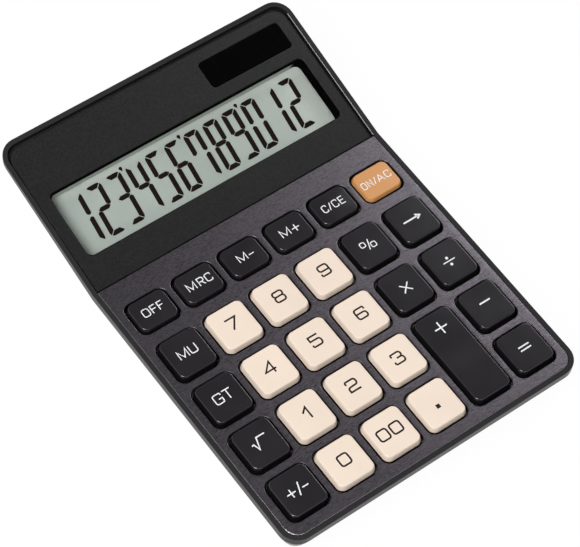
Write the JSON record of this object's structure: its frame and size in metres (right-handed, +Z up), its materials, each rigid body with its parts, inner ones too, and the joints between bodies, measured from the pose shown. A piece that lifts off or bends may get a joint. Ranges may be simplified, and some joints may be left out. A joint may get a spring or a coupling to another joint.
{
  "type": "desk calculator",
  "caption": "Flat desk calculator with a tilted display section, a brushed key deck and sprung square keys.",
  "frame": {"origin": "under the middle of the case, on the surface that the feet stand on", "axes": "+X to the right, +Y from the keys towards the display, +Z up"},
  "size_m": [0.1214, 0.1736, 0.029],
  "materials": {
    "case": "semi-gloss moulded",
    "base": "fine spark texture",
    "plate": "brushed, dark anodised, bright cut edge",
    "panel": "fine texture",
    "pane": "clear polished",
    "lcd": "grey-green behind a polariser",
    "white_plastic": "plain moulded",
    "ribbon": "polyimide film",
    "solar": "polished",
    "wire": "plain",
    "grey_rubber": "silicone",
    "black_rubber": "plain",
    "board": "phenolic paper",
    "component": "epoxy",
    "steel": "plated",
    "contact": "plated",
    "key_cream": "satin",
    "key_orange": "satin",
    "key_black": "satin"
  },
  "bodies": {
    "case": {"upper_case": "case", "lower_case": "base", "deck_plate": "plate", "display_panel": "panel", "display_pane": "pane", "display_glass": "lcd", "glass_holder": "white_plastic", "glass_ribbon": "ribbon", "solar_window": "solar", "solar_cell": "solar", "solar_wires": "wire", "rubber_mat": "grey_rubber", "main_board": "board", "board_parts": "component", "board_screws": "steel", "case_screws": "steel", "rubber_feet": "black_rubber", "button_cell": "steel", "contact_side": "contact", "contact_top": "contact", "battery_wires": "wire"},
    "key_off_cap": {"key_off": "key_black"},
    "key_mrc_cap": {"key_mrc": "key_black"},
    "key_m_minus_cap": {"key_m_minus": "key_black"},
    "key_m_plus_cap": {"key_m_plus": "key_black"},
    "key_clear_cap": {"key_clear": "key_black"},
    "key_on_cap": {"key_on": "key_orange"},
    "key_mu_cap": {"key_mu": "key_black"},
    "key_7_cap": {"key_7": "key_cream"},
    "key_8_cap": {"key_8": "key_cream"},
    "key_9_cap": {"key_9": "key_cream"},
    "key_percent_cap": {"key_percent": "key_black"},
    "key_back_cap": {"key_back": "key_black"},
    "key_gt_cap": {"key_gt": "key_black"},
    "key_4_cap": {"key_4": "key_cream"},
    "key_5_cap": {"key_5": "key_cream"},
    "key_6_cap": {"key_6": "key_cream"},
    "key_times_cap": {"key_times": "key_black"},
    "key_divide_cap": {"key_divide": "key_black"},
    "key_root_cap": {"key_root": "key_black"},
    "key_1_cap": {"key_1": "key_cream"},
    "key_2_cap": {"key_2": "key_cream"},
    "key_3_cap": {"key_3": "key_cream"},
    "key_plus_cap": {"key_plus": "key_black"},
    "key_minus_cap": {"key_minus": "key_black"},
    "key_sign_cap": {"key_sign": "key_black"},
    "key_0_cap": {"key_0": "key_cream"},
    "key_00_cap": {"key_00": "key_cream"},
    "key_point_cap": {"key_point": "key_cream"},
    "key_equals_cap": {"key_equals": "key_black"},
    "door": {"battery_door": "base"}
  },
  "joints": [
    {"name": "key_off_press", "type": "slide", "parent": "case", "child": "key_off_cap", "axis": [0, 0, -1], "range_m": [0, 0.0015], "stiffness_N_per_m": 300, "deforming": ["rubber_mat"]},
    {"name": "key_mrc_press", "type": "slide", "parent": "case", "child": "key_mrc_cap", "axis": [0, 0, -1], "range_m": [0, 0.0015], "stiffness_N_per_m": 300, "deforming": ["rubber_mat"]},
    {"name": "key_m_minus_press", "type": "slide", "parent": "case", "child": "key_m_minus_cap", "axis": [0, 0, -1], "range_m": [0, 0.0015], "stiffness_N_per_m": 300, "deforming": ["rubber_mat"]},
    {"name": "key_m_plus_press", "type": "slide", "parent": "case", "child": "key_m_plus_cap", "axis": [0, 0, -1], "range_m": [0, 0.0015], "stiffness_N_per_m": 300, "deforming": ["rubber_mat"]},
    {"name": "key_clear_press", "type": "slide", "parent": "case", "child": "key_clear_cap", "axis": [0, 0, -1], "range_m": [0, 0.0015], "stiffness_N_per_m": 300, "deforming": ["rubber_mat"]},
    {"name": "key_on_press", "type": "slide", "parent": "case", "child": "key_on_cap", "axis": [0, 0, -1], "range_m": [0, 0.0015], "stiffness_N_per_m": 300, "deforming": ["rubber_mat"]},
    {"name": "key_mu_press", "type": "slide", "parent": "case", "child": "key_mu_cap", "axis": [0, 0, -1], "range_m": [0, 0.0015], "stiffness_N_per_m": 300, "deforming": ["rubber_mat"]},
    {"name": "key_7_press", "type": "slide", "parent": "case", "child": "key_7_cap", "axis": [0, 0, -1], "range_m": [0, 0.0015], "stiffness_N_per_m": 300, "deforming": ["rubber_mat"]},
    {"name": "key_8_press", "type": "slide", "parent": "case", "child": "key_8_cap", "axis": [0, 0, -1], "range_m": [0, 0.0015], "stiffness_N_per_m": 300, "deforming": ["rubber_mat"]},
    {"name": "key_9_press", "type": "slide", "parent": "case", "child": "key_9_cap", "axis": [0, 0, -1], "range_m": [0, 0.0015], "stiffness_N_per_m": 300, "deforming": ["rubber_mat"]},
    {"name": "key_percent_press", "type": "slide", "parent": "case", "child": "key_percent_cap", "axis": [0, 0, -1], "range_m": [0, 0.0015], "stiffness_N_per_m": 300, "deforming": ["rubber_mat"]},
    {"name": "key_back_press", "type": "slide", "parent": "case", "child": "key_back_cap", "axis": [0, 0, -1], "range_m": [0, 0.0015], "stiffness_N_per_m": 300, "deforming": ["rubber_mat"]},
    {"name": "key_gt_press", "type": "slide", "parent": "case", "child": "key_gt_cap", "axis": [0, 0, -1], "range_m": [0, 0.0015], "stiffness_N_per_m": 300, "deforming": ["rubber_mat"]},
    {"name": "key_4_press", "type": "slide", "parent": "case", "child": "key_4_cap", "axis": [0, 0, -1], "range_m": [0, 0.0015], "stiffness_N_per_m": 300, "deforming": ["rubber_mat"]},
    {"name": "key_5_press", "type": "slide", "parent": "case", "child": "key_5_cap", "axis": [0, 0, -1], "range_m": [0, 0.0015], "stiffness_N_per_m": 300, "deforming": ["rubber_mat"]},
    {"name": "key_6_press", "type": "slide", "parent": "case", "child": "key_6_cap", "axis": [0, 0, -1], "range_m": [0, 0.0015], "stiffness_N_per_m": 300, "deforming": ["rubber_mat"]},
    {"name": "key_times_press", "type": "slide", "parent": "case", "child": "key_times_cap", "axis": [0, 0, -1], "range_m": [0, 0.0015], "stiffness_N_per_m": 300, "deforming": ["rubber_mat"]},
    {"name": "key_divide_press", "type": "slide", "parent": "case", "child": "key_divide_cap", "axis": [0, 0, -1], "range_m": [0, 0.0015], "stiffness_N_per_m": 300, "deforming": ["rubber_mat"]},
    {"name": "key_root_press", "type": "slide", "parent": "case", "child": "key_root_cap", "axis": [0, 0, -1], "range_m": [0, 0.0015], "stiffness_N_per_m": 300, "deforming": ["rubber_mat"]},
    {"name": "key_1_press", "type": "slide", "parent": "case", "child": "key_1_cap", "axis": [0, 0, -1], "range_m": [0, 0.0015], "stiffness_N_per_m": 300, "deforming": ["rubber_mat"]},
    {"name": "key_2_press", "type": "slide", "parent": "case", "child": "key_2_cap", "axis": [0, 0, -1], "range_m": [0, 0.0015], "stiffness_N_per_m": 300, "deforming": ["rubber_mat"]},
    {"name": "key_3_press", "type": "slide", "parent": "case", "child": "key_3_cap", "axis": [0, 0, -1], "range_m": [0, 0.0015], "stiffness_N_per_m": 300, "deforming": ["rubber_mat"]},
    {"name": "key_plus_press", "type": "slide", "parent": "case", "child": "key_plus_cap", "axis": [0, 0, -1], "range_m": [0, 0.0015], "stiffness_N_per_m": 500, "deforming": ["rubber_mat"]},
    {"name": "key_minus_press", "type": "slide", "parent": "case", "child": "key_minus_cap", "axis": [0, 0, -1], "range_m": [0, 0.0015], "stiffness_N_per_m": 300, "deforming": ["rubber_mat"]},
    {"name": "key_sign_press", "type": "slide", "parent": "case", "child": "key_sign_cap", "axis": [0, 0, -1], "range_m": [0, 0.0015], "stiffness_N_per_m": 300, "deforming": ["rubber_mat"]},
    {"name": "key_0_press", "type": "slide", "parent": "case", "child": "key_0_cap", "axis": [0, 0, -1], "range_m": [0, 0.0015], "stiffness_N_per_m": 300, "deforming": ["rubber_mat"]},
    {"name": "key_00_press", "type": "slide", "parent": "case", "child": "key_00_cap", "axis": [0, 0, -1], "range_m": [0, 0.0015], "stiffness_N_per_m": 300, "deforming": ["rubber_mat"]},
    {"name": "key_point_press", "type": "slide", "parent": "case", "child": "key_point_cap", "axis": [0, 0, -1], "range_m": [0, 0.0015], "stiffness_N_per_m": 300, "deforming": ["rubber_mat"]},
    {"name": "key_equals_press", "type": "slide", "parent": "case", "child": "key_equals_cap", "axis": [0, 0, -1], "range_m": [0, 0.0015], "stiffness_N_per_m": 300, "deforming": ["rubber_mat"]},
    {"name": "door_hinge", "type": "hinge", "parent": "case", "child": "door", "pos_m": [-0.0243, 0.0533, 0.0012], "axis": [-1, 0, 0], "range_deg": [0, 60]}
  ]
}
